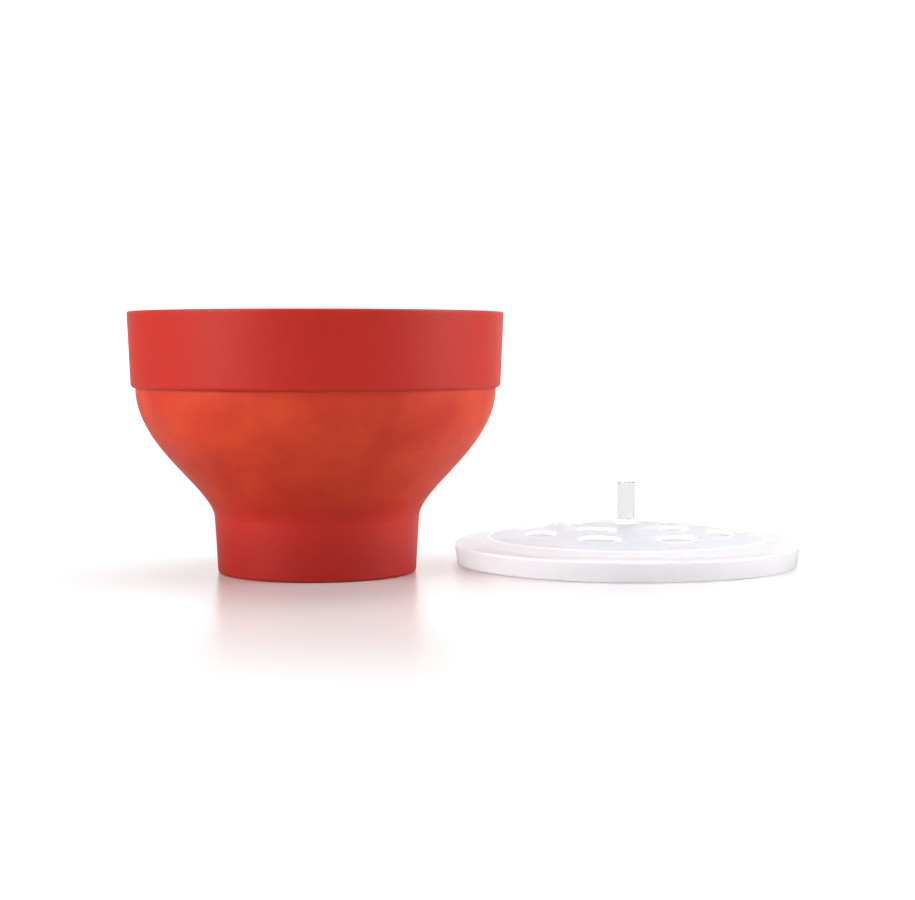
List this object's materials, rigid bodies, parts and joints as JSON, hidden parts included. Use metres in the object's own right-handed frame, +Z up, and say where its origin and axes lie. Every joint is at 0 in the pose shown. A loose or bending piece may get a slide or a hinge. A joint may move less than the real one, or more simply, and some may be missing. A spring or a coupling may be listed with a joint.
{
  "type": "popcorn maker",
  "caption": "Collapsible silicone microwave popcorn bowl with a stiff rim band, and a vented domed lid with a clear stem lying beside it.",
  "frame": {"origin": "middle of the bowl's flat underside, on the surface that it stands on", "axes": "+Z up along the bowl's axis, +X towards the side where the lid lies, which is turned 13.65 degrees from +X towards +Y"},
  "size_m": [0.3747, 0.243, 0.1424],
  "materials": {
    "red_silicone": "matt, slightly see-through silicone rubber",
    "milky_plastic": "milky, see-through polypropylene with a satin skin",
    "clear_plastic": "clear, polished"
  },
  "bodies": {
    "foot": {"bowl_foot": "red_silicone"},
    "ring_1": {"wall_ring_1": "red_silicone"},
    "ring_2": {"wall_ring_2": "red_silicone"},
    "ring_3": {"wall_ring_3": "red_silicone"},
    "ring_4": {"wall_ring_4": "red_silicone"},
    "ring_5": {"wall_ring_5": "red_silicone"},
    "ring_6": {"wall_ring_6": "red_silicone"},
    "rim": {"rim_band": "red_silicone"},
    "lid": {"lid_cover": "milky_plastic", "lid_stem": "clear_plastic"}
  },
  "joints": [
    {"name": "collapse", "type": "slide", "parent": "foot", "child": "rim", "axis": [0, 0, 1], "range_m": [-0.07, 0]},
    {"name": "fold_ring_1", "type": "slide", "parent": "foot", "child": "ring_1", "axis": [0, 0, 1], "range_m": [-0.00533, 0.0005]},
    {"name": "fold_ring_2", "type": "slide", "parent": "foot", "child": "ring_2", "axis": [0, 0, 1], "range_m": [-0.01366, 0.0005]},
    {"name": "fold_ring_3", "type": "slide", "parent": "foot", "child": "ring_3", "axis": [0, 0, 1], "range_m": [-0.02465, 0.0005]},
    {"name": "fold_ring_4", "type": "slide", "parent": "foot", "child": "ring_4", "axis": [0, 0, 1], "range_m": [-0.03725, 0.0005]},
    {"name": "fold_ring_5", "type": "slide", "parent": "foot", "child": "ring_5", "axis": [0, 0, 1], "range_m": [-0.05048, 0.0005]},
    {"name": "fold_ring_6", "type": "slide", "parent": "foot", "child": "ring_6", "axis": [0, 0, 1], "range_m": [-0.06273, 0.0005]},
    {"name": "lid_lift", "type": "slide", "parent": "foot", "child": "lid", "axis": [0.4859, 0.118, 0.866], "range_m": [0, 0.15]}
  ],
  "couplings": [
    {"joint": "fold_ring_1", "follows": "collapse", "ratio": 0.069},
    {"joint": "fold_ring_2", "follows": "collapse", "ratio": 0.188},
    {"joint": "fold_ring_3", "follows": "collapse", "ratio": 0.345},
    {"joint": "fold_ring_4", "follows": "collapse", "ratio": 0.525},
    {"joint": "fold_ring_5", "follows": "collapse", "ratio": 0.714},
    {"joint": "fold_ring_6", "follows": "collapse", "ratio": 0.889}
  ]
}
